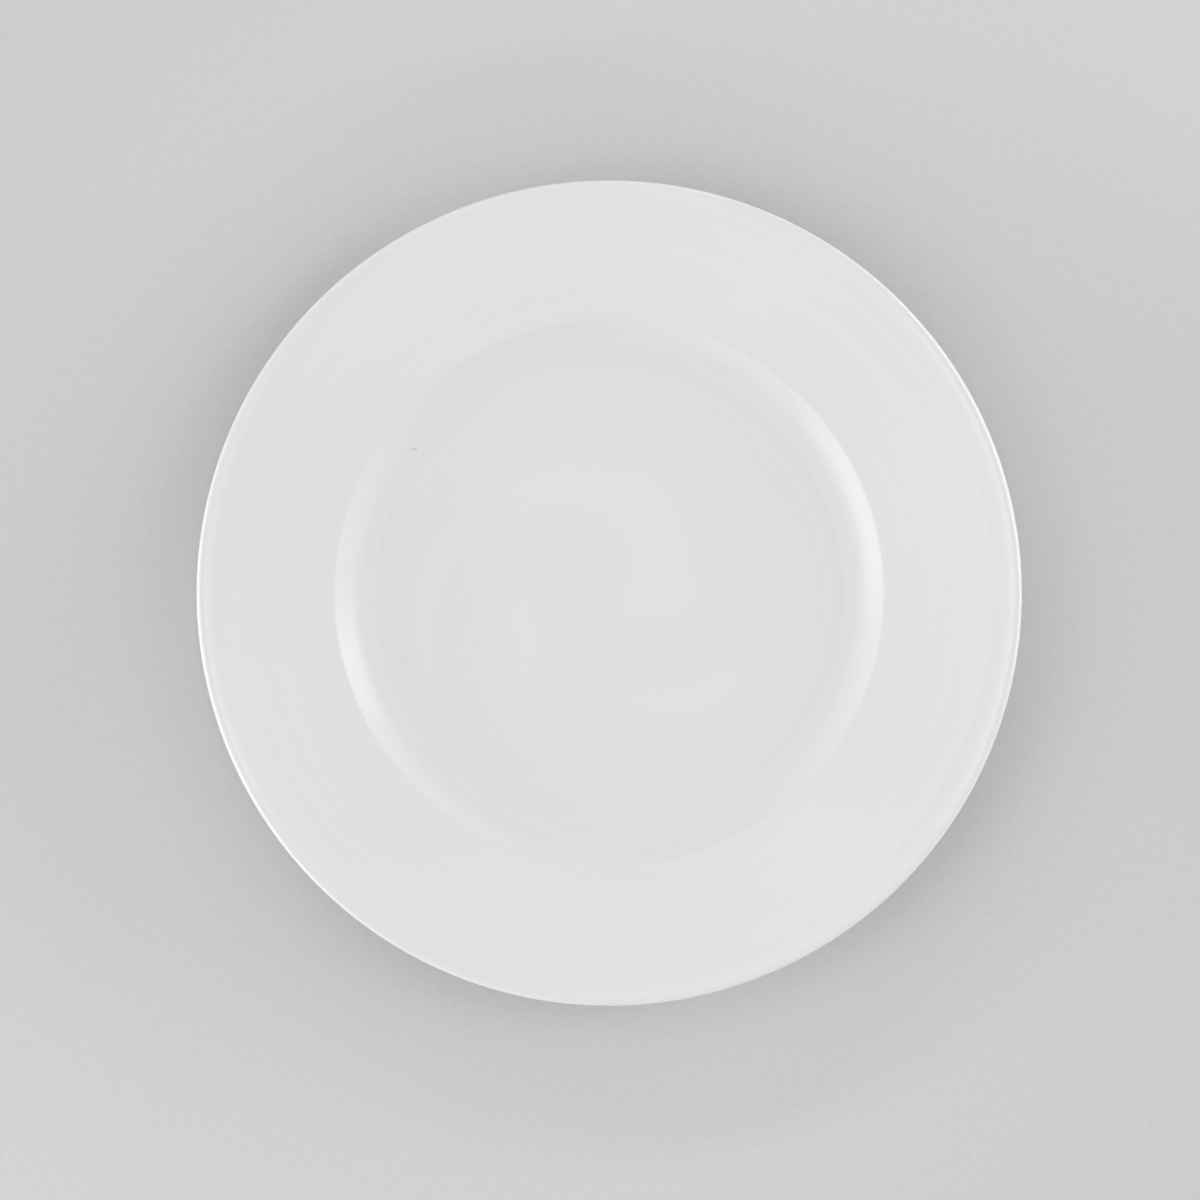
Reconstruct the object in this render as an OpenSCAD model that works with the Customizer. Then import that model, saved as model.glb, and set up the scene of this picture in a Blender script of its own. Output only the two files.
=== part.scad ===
// Wide-rimmed porcelain dinner plate: a fired clay body with a foot ring, and the glaze fused to it.
// Origin at the centre of the standing face of the foot ring, +Z up, millimetres.

/* [Plate] */
// Overall diameter over the glaze
plate_d = 270; // [220:1:320]
// Height of the lip's crest above the table
plate_h = 23; // [19:0.5:27]

/* [Well] */
// Depth of the well, from the rim's inner corner to the floor
well_depth = 4.6; // [3.7:0.1:5.5]
// Run of the wall outwards, from the floor's corner to the rim's inner corner
wall_w = 7.8; // [6.4:0.1:9.2]
// Radius of the curve from the floor up into the wall
well_curve_r = 24; // [19:0.5:28]
// Radius of the shoulder between the wall and the rim
shoulder_r = 4.5; // [3.5:0.25:7]

/* [Rim] */
// Width of the rim, from its inner corner to the plate's edge
rim_w = 44.6; // [37:0.1:53]
// Thickness of the rim
rim_t = 4; // [3.3:0.1:4.8]
// Width of the upturned lip
lip_w = 4.4; // [3.6:0.1:5.2]
// Height of the lip's crest above the corner where the lip turns up
lip_rise = 0.83; // [0.7:0.01:0.98]
// Radius of the curve from the rim up into the lip
lip_curve_r = 18; // [8:1:22]
// Radius of the lip's rounded upper edge
lip_r = 1.9; // [1.5:0.05:2.2]
// Radius of the lip's rounded lower edge
lip_under_r = 1.3; // [1:0.05:1.5]

/* [Base] */
// Thickness of the floor
floor_t = 5; // [4:0.1:6]
// Run of the wall's underside outwards, from the foot ring's heel to the rim's underside
under_wall_w = 10.4; // [8.6:0.1:12.2]
// Radius of the hollow curve from the wall's underside out to the rim's underside
under_shoulder_r = 14; // [11:0.5:17]

/* [Foot ring] */
// Distance of the foot ring's outer toe inwards from the rim's inner corner
foot_inset = 8.4; // [6.8:0.1:10]
// Width of the standing face, between its two sharp corners
foot_w = 3.2; // [2.6:0.1:3.8]
// Height of the heel, the corner between the foot ring and the wall's underside
heel_h = 3.2; // [2.7:0.1:3.8]
// Depth of the recess that the foot ring encloses
recess_h = 3.2; // [2.7:0.1:3.8]
// Lean of the foot ring's two sides from upright, in degrees
foot_draft = 18; // [14:1:22]
// Radius of the hollow curve from the foot ring's outer side into the wall's underside
heel_r = 3; // [2:0.25:3.5]
// Radius of the hollow curve from the foot ring's inner side into the recess
recess_r = 1.8; // [1.4:0.1:2.2]
// Radius of the two edges of the standing face
toe_r = 0.7; // [0.5:0.05:0.85]

/* [Glaze] */
// Thickness of the glaze
glaze_t = 0.35; // [0.25:0.05:0.45]
// Height of the band along the foot ring that is wiped free of glaze
bare_h = 0.9; // [0.75:0.05:1.05]

/* [Smoothness] */
// Turn between neighbouring points of a curve in the section, in degrees
turn_step = 2.5; // [1.5:0.5:6]
// Facets round the plate in a preview
$fn = 180; // [72:12:240]

/* [Hidden] */

clay_colour = [0.86, 0.84, 0.80];
glaze_colour = [0.93, 0.93, 0.92];

// Share of a slanting side that the larger of its two end curves may take up
larger_curve_share = 0.84;
smaller_curve_share = 1 - larger_curve_share;
// Rounding of the glaze's wiped edge, as a share of the glaze's thickness
wiped_edge_share = 0.8;

plate_r = plate_d / 2;
well_r = plate_r - rim_w;
floor_r = well_r - wall_w;
foot_r = well_r - foot_inset;
floor_z = recess_h + floor_t;
rim_z = floor_z + well_depth;

// Point at a distance from p in the direction of an angle
function along(p, angle, distance) = p + distance * [cos(angle), sin(angle)];

// Point where the line through p at angle a meets the line through q at angle b
function meet(p, a, q, b) = along(p, a, cross(q - p, [cos(b), sin(b)]) / sin(b - a));

// Angle of the line from p to q
function slope(p, q) = atan2(q.y - p.y, q.x - p.x);

// A path runs clockwise round the section, so its outer side is on its left
function outward(p, q) = [-sin(slope(p, q)), cos(slope(p, q))];

// Signed turn at corner b between the directions a to b and b to c, positive to the left
function turn(a, b, c) =
    let (t = slope(b, c) - slope(a, b))
    t > 180 ? t - 360 : t < -180 ? t + 360 : t;

// Radius of a curve at a turn, no larger than the room along its side lets it be
function fitted(r, angle, room) = min(r, room / tan(abs(angle) / 2));

// Points of the arc of radius r that rounds corner b, moved inwards by inset
function bend(a, b, c, r, inset) =
    let (
        t = turn(a, b, c),
        reach = t < 0 ? r : -r,
        n1 = outward(a, b),
        n2 = outward(b, c),
        centre = b - reach * (n1 + n2) / (1 + n1 * n2),
        from = slope(a, b) + 90,
        steps = ceil(abs(t) / turn_step)
    )
    [for (i = [0 : steps]) along(centre, from + t * i / steps, reach - inset)];

// The place of a corner, which is listed as [radius, height, rounding]
function at(corner) = [corner.x, corner.y];

// Every inner corner of a path as an arc
function rounded(path, inset = 0) = [
    for (i = [1 : len(path) - 2])
        each bend(at(path[i - 1]), at(path[i]), at(path[i + 1]), path[i].z, inset)
];

function reversed(points) = [for (i = [len(points) - 1 : -1 : 0]) points[i]];

// The lip's inner side rises from its root and is tangent to the round crest
crest = [plate_r - lip_r, plate_h - lip_r];
lip_root = [plate_r - lip_w, plate_h - lip_rise];
lip_side = sqrt((crest - lip_root) * (crest - lip_root) - lip_r * lip_r);
lip_slope = slope(lip_root, crest) + atan2(lip_r, lip_side);
lip_top = meet(lip_root, lip_slope, [plate_r, 0], 90);

// Upper side of the wall and the rim
wall_root = [floor_r, floor_z];
shoulder = [well_r, rim_z];
wall_slope = slope(wall_root, shoulder);
wall_side = norm(shoulder - wall_root);
rim_slope = slope(shoulder, lip_root);

// The foot ring's sides lean in towards the table, bare and then with glaze on them
outer_lean = 90 - foot_draft;
inner_lean = 90 + foot_draft;
toe_outer = [foot_r, 0];
toe_inner = [foot_r - foot_w, 0];
glazed_toe_outer = toe_outer + [glaze_t / cos(foot_draft), 0];
glazed_toe_inner = toe_inner - [glaze_t / cos(foot_draft), 0];
heel = meet(glazed_toe_outer, outer_lean, [0, heel_h], 0);
recess_root = meet(glazed_toe_inner, inner_lean, [0, recess_h], 0);

// Underside of the rim and the wall
under_rim = along(shoulder, rim_slope - 90, rim_t);
under_shoulder = meet(under_rim, rim_slope, [heel.x + under_wall_w, 0], 90);
lip_bottom = meet(under_rim, rim_slope, [plate_r, 0], 90);
under_wall_slope = slope(heel, under_shoulder);
under_wall_side = norm(under_shoulder - heel);

// Where the glaze is wiped off the two sides of the foot ring
wiped_outer = meet(glazed_toe_outer, outer_lean, [0, bare_h], 0);
wiped_inner = meet(glazed_toe_inner, inner_lean, [0, bare_h], 0);

// Curves whose slanting side is short
well_curve = fitted(well_curve_r, wall_slope, larger_curve_share * wall_side);
shoulder_curve = fitted(shoulder_r, wall_slope - rim_slope, smaller_curve_share * wall_side);
lip_curve = fitted(lip_curve_r, lip_slope - rim_slope, lip_side);
heel_curve = fitted(heel_r, outer_lean - under_wall_slope, smaller_curve_share * under_wall_side);

// Corners of the glazed surface: over the face and the lip, and back under to the foot ring
coat_path = [
    [0, floor_z, 0],
    [wall_root.x, wall_root.y, well_curve],
    [shoulder.x, shoulder.y, shoulder_curve],
    [lip_root.x, lip_root.y, lip_curve],
    [lip_top.x, lip_top.y, lip_r],
    [lip_bottom.x, lip_bottom.y, lip_under_r],
    [under_shoulder.x, under_shoulder.y, under_shoulder_r],
    [heel.x, heel.y, heel_curve],
    [glazed_toe_outer.x, glazed_toe_outer.y, 0]
];

// Corners of the glazed surface inside the foot ring
recess_path = [
    [glazed_toe_inner.x, glazed_toe_inner.y, 0],
    [recess_root.x, recess_root.y, recess_r],
    [0, recess_h, 0]
];

// Corners of the bare clay at the foot ring, from side to side
toe_path = [
    concat(along(toe_outer, outer_lean, heel_h), 0),
    concat(toe_outer, toe_r),
    concat(toe_inner, toe_r),
    concat(along(toe_inner, inner_lean, heel_h), 0)
];

// Round end of the glaze on one side of the foot ring, and the clay behind it
function wiped_end(root, wiped, clay) =
    concat(bend(root, wiped, clay, wiped_edge_share * glaze_t, 0), [clay]);

clay_behind_outer = along(wiped_outer, outer_lean + 90, glaze_t);
clay_behind_inner = along(wiped_inner, inner_lean - 90, glaze_t);

module turned(outline) {
    rotate_extrude()
        polygon(outline);
}

// Pressed and fired clay: floor, wall, rim and foot ring in one piece
module porcelain_body() {
    color(clay_colour)
        turned(concat(
            [[0, floor_z - glaze_t]],
            rounded(coat_path, glaze_t),
            rounded(toe_path),
            rounded(recess_path, glaze_t),
            [[0, recess_h + glaze_t]]
        ));
}

// Glaze over the face, the lip and the back, down to the wiped line on the foot ring
module glaze_coat() {
    color(glaze_colour)
        turned(concat(
            [[0, floor_z]],
            rounded(coat_path),
            wiped_end(heel, wiped_outer, clay_behind_outer),
            reversed(rounded(coat_path, glaze_t)),
            [[0, floor_z - glaze_t]]
        ));
}

// Glaze inside the foot ring, which the bare standing face parts from the rest
module recess_glaze() {
    color(glaze_colour)
        turned(concat(
            [[0, recess_h + glaze_t]],
            reversed(rounded(recess_path, glaze_t)),
            reversed(wiped_end(recess_root, wiped_inner, clay_behind_inner)),
            rounded(recess_path),
            [[0, recess_h]]
        ));
}

porcelain_body();
glaze_coat();
recess_glaze();
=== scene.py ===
"""A wide-rimmed porcelain dinner plate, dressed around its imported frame.

The plate is one pressed and fired clay body. A clear glaze covers its face, its lip and its back down to a
wiped line on the foot ring, and a second skin of glaze lies inside the foot ring. The script turns all three
from one section, gives them the slight unevenness of a real plate, and lights them from soft boxes in a
pale room.

Sizes are in millimetres until a mesh is finished, and then in metres.
"""

import logging
import math
from dataclasses import dataclass
from enum import Enum
from functools import cache

import bmesh
import bpy
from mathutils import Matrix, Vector, noise

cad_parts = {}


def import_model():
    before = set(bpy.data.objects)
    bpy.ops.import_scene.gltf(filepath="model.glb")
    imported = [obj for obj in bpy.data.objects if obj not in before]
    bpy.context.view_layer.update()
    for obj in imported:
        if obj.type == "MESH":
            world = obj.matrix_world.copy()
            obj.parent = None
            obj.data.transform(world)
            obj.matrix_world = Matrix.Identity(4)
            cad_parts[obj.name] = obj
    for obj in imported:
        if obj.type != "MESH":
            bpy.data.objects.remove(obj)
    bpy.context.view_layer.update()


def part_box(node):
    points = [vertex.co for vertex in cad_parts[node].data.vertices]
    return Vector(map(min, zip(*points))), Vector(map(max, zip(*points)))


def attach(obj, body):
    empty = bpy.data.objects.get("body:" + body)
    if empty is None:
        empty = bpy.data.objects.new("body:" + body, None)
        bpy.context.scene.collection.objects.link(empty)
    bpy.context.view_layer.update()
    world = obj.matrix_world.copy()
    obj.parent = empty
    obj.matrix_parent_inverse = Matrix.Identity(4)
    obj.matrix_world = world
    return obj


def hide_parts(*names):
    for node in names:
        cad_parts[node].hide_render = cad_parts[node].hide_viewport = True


LOG = logging.getLogger("plate")
MM = 0.001
ORIGIN = (0.0, 0.0, 0.0)
FLAT = (1.0, 1.0, 0.0)  # times a place, it leaves the height out
CERAMIC_IOR = 1.5
Source = bpy.types.NodeSocket | float | tuple[float, ...]  # what an input of a node takes
Colour = tuple[float, float, float]


class Turn(Enum):
    """How closely a curve of the section is stepped, in degrees of turn for one facet."""

    FINE = 1.25
    EDGE = 5.0


class Side(Enum):
    """The side that the foot ring's glaze is wiped from."""

    OUTER = 1
    INNER = -1


@dataclass(frozen=True)
class Corner:
    """A corner of the section before it is rounded.

    Attributes:
        place: distance from the plate's axis, and height above the table.
        radius: radius of the curve that rounds the corner.
        turn: how closely that curve is stepped.
    """

    place: Vector
    radius: float = 0.0
    turn: Turn = Turn.FINE


def meeting(p: Vector, a: float, q: Vector, b: float) -> Vector:
    """Point where two lines cross.

    Args:
        p: a point of the first line.
        a: angle of the first line, in degrees.
        q: a point of the second line.
        b: angle of the second line, in degrees.

    Returns:
        The crossing point.
    """
    along_a = Vector((math.cos(math.radians(a)), math.sin(math.radians(a))))
    along_b = Vector((math.cos(math.radians(b)), math.sin(math.radians(b))))
    gap = q - p
    reach = (gap.x * along_b.y - gap.y * along_b.x) / (along_a.x * along_b.y - along_a.y * along_b.x)
    return p + along_a * reach


def slope(p: Vector, q: Vector) -> float:
    """Angle of the line from p to q, in degrees."""
    return math.degrees(math.atan2(q.y - p.y, q.x - p.x))


@dataclass(frozen=True)
class PlateSizes:
    """The plate's driving sizes, in millimetres and degrees.

    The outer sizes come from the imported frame, and the others repeat the ones that the frame was made from.
    """

    plate_r: float
    plate_h: float
    glaze_t: float
    bare_h: float
    well_depth: float = 4.6
    wall_w: float = 7.8
    well_curve_r: float = 24.0
    shoulder_r: float = 4.5
    rim_w: float = 44.6
    rim_t: float = 4.0
    lip_w: float = 4.4
    lip_rise: float = 0.83
    lip_curve_r: float = 18.0
    lip_r: float = 1.9
    lip_under_r: float = 1.3
    floor_t: float = 5.0
    under_wall_w: float = 10.4
    under_shoulder_r: float = 14.0
    foot_inset: float = 8.4
    foot_w: float = 3.2
    heel_h: float = 3.2
    recess_h: float = 3.2
    foot_draft: float = 18.0
    heel_r: float = 3.0
    recess_r: float = 1.8
    toe_r: float = 0.7
    wiped_edge_share: float = 0.8

    @classmethod
    def from_frame(cls) -> "PlateSizes":
        """Sizes of the plate, with the outer ones measured on the frame.

        Returns:
            The sizes.
        """
        coat_low, coat_high = (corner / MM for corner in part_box("glaze_coat"))
        _, body_high = (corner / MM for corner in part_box("porcelain_body"))
        return cls(
            plate_r=coat_high.x,
            plate_h=coat_high.z,
            glaze_t=coat_high.z - body_high.z,
            bare_h=coat_low.z,
        )

    @property
    def well_r(self) -> float:
        """Distance of the rim's inner corner from the axis."""
        return self.plate_r - self.rim_w

    @property
    def floor_r(self) -> float:
        """Distance of the floor's corner from the axis."""
        return self.well_r - self.wall_w

    @property
    def foot_r(self) -> float:
        """Distance of the foot ring's outer toe from the axis."""
        return self.well_r - self.foot_inset

    @property
    def floor_z(self) -> float:
        """Height of the well's floor."""
        return self.recess_h + self.floor_t

    @property
    def rim_z(self) -> float:
        """Height of the rim's inner corner."""
        return self.floor_z + self.well_depth


class Section:
    """The corners of the plate's section, worked out from its sizes."""

    def __init__(self, sizes: PlateSizes) -> None:
        """Works out the corners.

        Args:
            sizes: the plate's driving sizes.
        """
        self.sizes = s = sizes
        edge = Vector((s.plate_r, 0.0))
        self.shoulder = Vector((s.well_r, s.rim_z))
        self.wall_root = Vector((s.floor_r, s.floor_z))
        self.lip_root = Vector((s.plate_r - s.lip_w, s.plate_h - s.lip_rise))
        self.rim_slope = slope(self.shoulder, self.lip_root)
        crest = Vector((s.plate_r - s.lip_r, s.plate_h - s.lip_r))
        lip_side = math.sqrt((crest - self.lip_root).length_squared - s.lip_r**2)
        lip_slope = slope(self.lip_root, crest) + math.degrees(math.atan2(s.lip_r, lip_side))
        self.lip_top = meeting(self.lip_root, lip_slope, edge, 90.0)

        self.toes = {
            side: Vector((s.foot_r - (0.0 if side is Side.OUTER else s.foot_w), 0.0)) for side in Side
        }
        self.leans = {side: 90.0 - side.value * s.foot_draft for side in Side}
        skin = s.glaze_t / math.cos(math.radians(s.foot_draft))
        self.glazed_toes = {side: self.toes[side] + Vector((side.value * skin, 0.0)) for side in Side}
        self.heel = self.on_foot(Side.OUTER, s.heel_h)
        self.recess_root = self.on_foot(Side.INNER, s.recess_h)

        below = math.radians(self.rim_slope - 90.0)
        under_rim = self.shoulder + s.rim_t * Vector((math.cos(below), math.sin(below)))
        under = Vector((self.heel.x + s.under_wall_w, 0.0))
        self.under_shoulder = meeting(under_rim, self.rim_slope, under, 90.0)
        self.lip_bottom = meeting(under_rim, self.rim_slope, edge, 90.0)

    def on_foot(self, side: Side, height: float) -> Vector:
        """Point at a height on the glazed side of the foot ring."""
        return meeting(self.glazed_toes[side], self.leans[side], Vector((0.0, height)), 0.0)

    def face_height(self, radius: float) -> float:
        """Height of the face between its corners.

        Args:
            radius: distance from the axis.

        Returns:
            The height.
        """
        corners = (Vector((0.0, self.sizes.floor_z)), self.wall_root, self.shoulder, self.lip_root)
        for inner, outer in zip(corners, corners[1:]):
            if radius <= outer.x:
                return inner.y + (outer.y - inner.y) * (radius - inner.x) / (outer.x - inner.x)
        return self.sizes.plate_h

    @property
    def flat_floor_r(self) -> float:
        """Distance from the axis at which the flat floor ends and the wall's curve starts."""
        half_turn = math.radians(slope(self.wall_root, self.shoulder) / 2.0)
        return self.sizes.floor_r - self.sizes.well_curve_r * math.tan(half_turn)

    def coat(self) -> list[Corner]:
        """Glazed surface over the face and the lip, and back under to the foot ring.

        Returns:
            Its corners.
        """
        s = self.sizes
        return [
            Corner(Vector((0.0, s.floor_z))),
            Corner(self.wall_root, s.well_curve_r),
            Corner(self.shoulder, s.shoulder_r),
            Corner(self.lip_root, s.lip_curve_r),
            Corner(self.lip_top, s.lip_r, Turn.EDGE),
            Corner(self.lip_bottom, s.lip_under_r, Turn.EDGE),
            Corner(self.under_shoulder, s.under_shoulder_r),
            Corner(self.heel, s.heel_r),
            Corner(self.glazed_toes[Side.OUTER]),
        ]

    def recess(self) -> list[Corner]:
        """Glazed surface inside the foot ring.

        Returns:
            Its corners.
        """
        s = self.sizes
        return [
            Corner(self.glazed_toes[Side.INNER]),
            Corner(self.recess_root, s.recess_r),
            Corner(Vector((0.0, s.recess_h))),
        ]

    def toe(self) -> list[Corner]:
        """Bare clay of the foot ring.

        Returns:
            Its corners.
        """
        s = self.sizes
        up_side = {side: self.on_foot(side, s.heel_h) - self.glazed_toes[side] for side in Side}
        return [
            Corner(self.toes[Side.OUTER] + up_side[Side.OUTER]),
            Corner(self.toes[Side.OUTER], s.toe_r, Turn.EDGE),
            Corner(self.toes[Side.INNER], s.toe_r, Turn.EDGE),
            Corner(self.toes[Side.INNER] + up_side[Side.INNER]),
        ]

    def wiped_end(self, side: Side) -> list[Corner]:
        """Corners of the glaze's round end on one side of the foot ring.

        Args:
            side: the outer or the inner side.

        Returns:
            The corners, from the glazed surface to the clay behind it.
        """
        s = self.sizes
        root = self.heel if side is Side.OUTER else self.recess_root
        wiped = self.on_foot(side, s.bare_h)
        inwards = math.radians(self.leans[side] + side.value * 90.0)
        clay = wiped + s.glaze_t * Vector((math.cos(inwards), math.sin(inwards)))
        return [Corner(root), Corner(wiped, s.wiped_edge_share * s.glaze_t, Turn.EDGE), Corner(clay)]


class Outline:
    """A line of vertices in the plane of the section, drawn with extrusions and spins."""

    def __init__(self, start: Vector) -> None:
        """Starts the line at a distance from the axis and a height."""
        self.mesh = bmesh.new()
        self.tip = self.mesh.verts.new((start.x, 0.0, start.y))

    def line(self, end: Vector, step: float = math.inf) -> None:
        """Draws a straight stretch.

        Args:
            end: where it ends.
            step: longest edge along it.
        """
        goal = Vector((end.x, 0.0, end.y))
        pieces = max(1, math.ceil((goal - self.tip.co).length / step))
        move = (goal - self.tip.co) / pieces
        for _ in range(pieces):
            self.tip = bmesh.ops.extrude_vert_indiv(self.mesh, verts=[self.tip])["verts"][0]
            self.tip.co += move

    def arc(self, centre: Vector, turn: float, step: float) -> None:
        """Draws an arc from the tip.

        Args:
            centre: centre of the arc.
            turn: how far it goes round, in degrees, positive to the left.
            step: largest turn of one facet.
        """
        made = bmesh.ops.spin(
            self.mesh,
            geom=[self.tip],
            cent=(centre.x, 0.0, centre.y),
            axis=(0.0, -1.0, 0.0),
            angle=math.radians(turn),
            steps=max(1, math.ceil(abs(turn) / step)),
            use_duplicate=False,
        )
        self.tip = next(part for part in made["geom_last"] if isinstance(part, bmesh.types.BMVert))

    def path(self, corners: list[Corner], inset: float, step: float, backwards: bool = False) -> None:
        """Draws the rounded inner corners of a path and the straight stretches between them.

        Args:
            corners: the path's corners, clockwise round the section.
            inset: distance that the line keeps inside the path.
            step: longest straight edge.
            backwards: draws the path from its end to its start.
        """
        order = range(1, len(corners) - 1)
        for i in reversed(order) if backwards else order:
            before, here, after = (corner.place for corner in corners[i - 1 : i + 2])
            towards, away = slope(before, here), slope(here, after)
            turn = (away - towards + 180.0) % 360.0 - 180.0
            reach = math.copysign(corners[i].radius, -turn)
            left = [
                Vector((-math.sin(math.radians(angle)), math.cos(math.radians(angle))))
                for angle in (towards, away)
            ]
            centre = here - reach * (left[0] + left[1]) / (1.0 + left[0].dot(left[1]))
            ends = [centre + side * (reach - inset) for side in left]
            if backwards:
                ends.reverse()
                turn = -turn
            self.line(ends[0], step)
            self.arc(centre, turn, corners[i].turn.value)


@dataclass(frozen=True)
class Unevenness:
    """What the wheel and the kiln leave in a plate: a slight warp, rings from turning and soft waves.

    Attributes:
        warp: how far the edge lifts and dips, in millimetres.
        warp_lobes: lifts round the edge.
        warp_turn: direction of one of these lifts, in radians.
        ring_depth: depth of the turning rings, in millimetres.
        ring_gap: usual width of a ring, in millimetres.
        wave_depth: depth of the soft waves, in millimetres.
        wave_size: width of the soft waves, in millimetres.
        swirl_depth: depth of the spiral that the turning tool left in the middle, in millimetres.
        swirl_gap: distance between the turns of this spiral, in millimetres.
        swirl_r: distance from the axis at which it has faded out, in millimetres.
        core_r: distance from the axis inside which rings and spiral fade out, in millimetres.
        wipe_wander: how far the wiped edge of the glaze strays up and down the foot, in millimetres.
        wipe_sweeps: how often it strays on the way round.
        wipe_ripples: how often it ripples on the way round.
        ripple_share: size of the ripples, as a share of the straying.
    """

    warp: float = 0.12
    warp_lobes: int = 3
    warp_turn: float = -0.2
    ring_depth: float = 0.012
    ring_gap: float = 5.0
    wave_depth: float = 0.02
    wave_size: float = 30.0
    swirl_depth: float = 0.01
    swirl_gap: float = 18.0
    swirl_r: float = 48.0
    core_r: float = 18.0
    wipe_wander: float = 0.12
    wipe_sweeps: float = 1.7
    wipe_ripples: float = 6.0
    ripple_share: float = 0.6

    def lift(self, place: Vector, plate_r: float) -> float:
        """How far a point of the plate lies above its ideal place.

        Args:
            place: the point, in millimetres.
            plate_r: radius of the plate.

        Returns:
            The lift, in millimetres.
        """
        radius = math.hypot(place.x, place.y)
        angle = math.atan2(place.y, place.x)
        core = min(1.0, radius / self.core_r)
        warp = self.warp * (radius / plate_r) ** 4 * math.cos(self.warp_lobes * (angle - self.warp_turn))
        rings = self.ring_depth * core * noise.noise(Vector((0.0, 0.0, radius / self.ring_gap)))
        fade = core * max(0.0, 1.0 - radius / self.swirl_r)
        swirl = self.swirl_depth * fade * math.cos(angle + math.tau * radius / self.swirl_gap)
        flat = Vector((place.x, place.y, 0.0)) / self.wave_size
        return warp + rings + swirl + self.wave_depth * noise.noise(flat)

    def stray(self, angle: float) -> float:
        """How far the wiped edge of the glaze strays from its line.

        Args:
            angle: direction from the plate's axis.

        Returns:
            The distance up the foot, in millimetres.
        """
        around = Vector((math.cos(angle), math.sin(angle), 0.0))
        sweeps = noise.noise(around * self.wipe_sweeps)
        ripples = noise.noise(around * self.wipe_ripples)
        return self.wipe_wander * (sweeps + self.ripple_share * ripples)


class Plate:
    """The plate: its clay body and its two skins of glaze.

    Attributes:
        AROUND: facets on the way round.
        SLICES: equal slices that they are turned in.
        WELD: distance within which two vertices are one, in millimetres.
        SEEN_STEP: longest straight edge along a glazed surface, in millimetres.
        CLAY_STEP: longest one along the clay.
        HIDDEN_STEP: longest one where a glaze meets the clay.
        TOE_STEP: longest one at the toe of the foot ring.
        LEVEL_SHARE: share of the heel's height up to which the foot stays level.
    """

    AROUND = 256
    SLICES = 16
    WELD = 0.001
    SEEN_STEP = 2.6
    CLAY_STEP = 6.0
    HIDDEN_STEP = 12.0
    TOE_STEP = 1.0
    LEVEL_SHARE = 0.3

    def __init__(self, sizes: PlateSizes, unevenness: Unevenness) -> None:
        """Keeps the sizes and works out the section.

        Args:
            sizes: the plate's driving sizes.
            unevenness: what the wheel and the kiln left.
        """
        self.sizes = sizes
        self.unevenness = unevenness
        self.section = Section(sizes)

    def turned(self, name: str, outline: Outline, wiped: Side | None = None) -> bpy.types.Object:
        """Turns an outline about the plate's axis into a smooth closed mesh.

        Args:
            name: name of the new object.
            outline: an outline whose ends lie on the axis.
            wiped: side of the foot ring that a glaze was wiped from, where the outline is a glaze's.

        Returns:
            The new object.
        """
        mesh = outline.mesh
        slice_turn = math.tau / self.SLICES
        for turn, steps, copies in (
            (slice_turn, self.AROUND // self.SLICES, False),
            (math.tau - slice_turn, self.SLICES - 1, True),
        ):
            bmesh.ops.spin(
                mesh,
                geom=[*mesh.verts, *mesh.edges, *mesh.faces],
                cent=(0.0, 0.0, 0.0),
                axis=(0.0, 0.0, 1.0),
                angle=turn,
                steps=steps,
                use_merge=False,
                use_duplicate=copies,
            )
        bmesh.ops.remove_doubles(mesh, verts=mesh.verts, dist=self.WELD)
        bmesh.ops.recalc_face_normals(mesh, faces=mesh.faces)
        for vertex in mesh.verts:
            if wiped and vertex.co.z < (self.sizes.bare_h + self.sizes.heel_h) / 2.0:
                vertex.co += self.strayed(vertex.co, wiped)
            lift = self.unevenness.lift(vertex.co, self.sizes.plate_r)
            vertex.co.z += lift * self.clear_of_table(vertex.co)
        bmesh.ops.scale(mesh, vec=(MM, MM, MM), verts=mesh.verts)
        for face in mesh.faces:
            face.smooth = True
        data = bpy.data.meshes.new(name)
        mesh.to_mesh(data)
        mesh.free()
        piece = bpy.data.objects.new(name, data)
        bpy.context.scene.collection.objects.link(piece)
        return piece

    def strayed(self, place: Vector, wiped: Side) -> Vector:
        """How far a point of the wiped edge has strayed along the foot.

        Args:
            place: the point, in millimetres.
            wiped: side of the foot ring.

        Returns:
            The move, in millimetres.
        """
        lean = math.radians(self.section.leans[wiped])
        outwards = Vector((place.x, place.y, 0.0)).normalized()
        along = outwards * math.cos(lean) + Vector((0.0, 0.0, math.sin(lean)))
        return along * self.unevenness.stray(math.atan2(place.y, place.x))

    def clear_of_table(self, place: Vector) -> float:
        """Share of the unevenness that a point takes, from 0 where the plate stands to 1 above the heel."""
        return min(1.0, max(0.0, place.z / self.sizes.heel_h - self.LEVEL_SHARE))

    def porcelain_body(self) -> bpy.types.Object:
        """Makes the clay body: floor, wall, rim and foot ring in one piece.

        Returns:
            The body.
        """
        s = self.sizes
        outline = Outline(Vector((0.0, s.floor_z - s.glaze_t)))
        outline.path(self.section.coat(), s.glaze_t, self.CLAY_STEP)
        outline.path(self.section.toe(), 0.0, self.TOE_STEP)
        outline.path(self.section.recess(), s.glaze_t, self.CLAY_STEP)
        outline.line(Vector((0.0, s.recess_h + s.glaze_t)), self.CLAY_STEP)
        return self.turned("fired_clay_body", outline)

    def glaze_coat(self) -> bpy.types.Object:
        """Makes the glaze over the face, the lip and the back.

        Returns:
            The glaze.
        """
        s = self.sizes
        corners = self.section.coat()
        outline = Outline(Vector((0.0, s.floor_z)))
        outline.path(corners, 0.0, self.SEEN_STEP)
        end = self.section.wiped_end(Side.OUTER)
        outline.path(end, 0.0, self.TOE_STEP)
        outline.line(end[-1].place)
        outline.path(corners, s.glaze_t, self.HIDDEN_STEP, backwards=True)
        outline.line(Vector((0.0, s.floor_z - s.glaze_t)), self.HIDDEN_STEP)
        return self.turned("face_and_back_glaze", outline, Side.OUTER)

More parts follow.
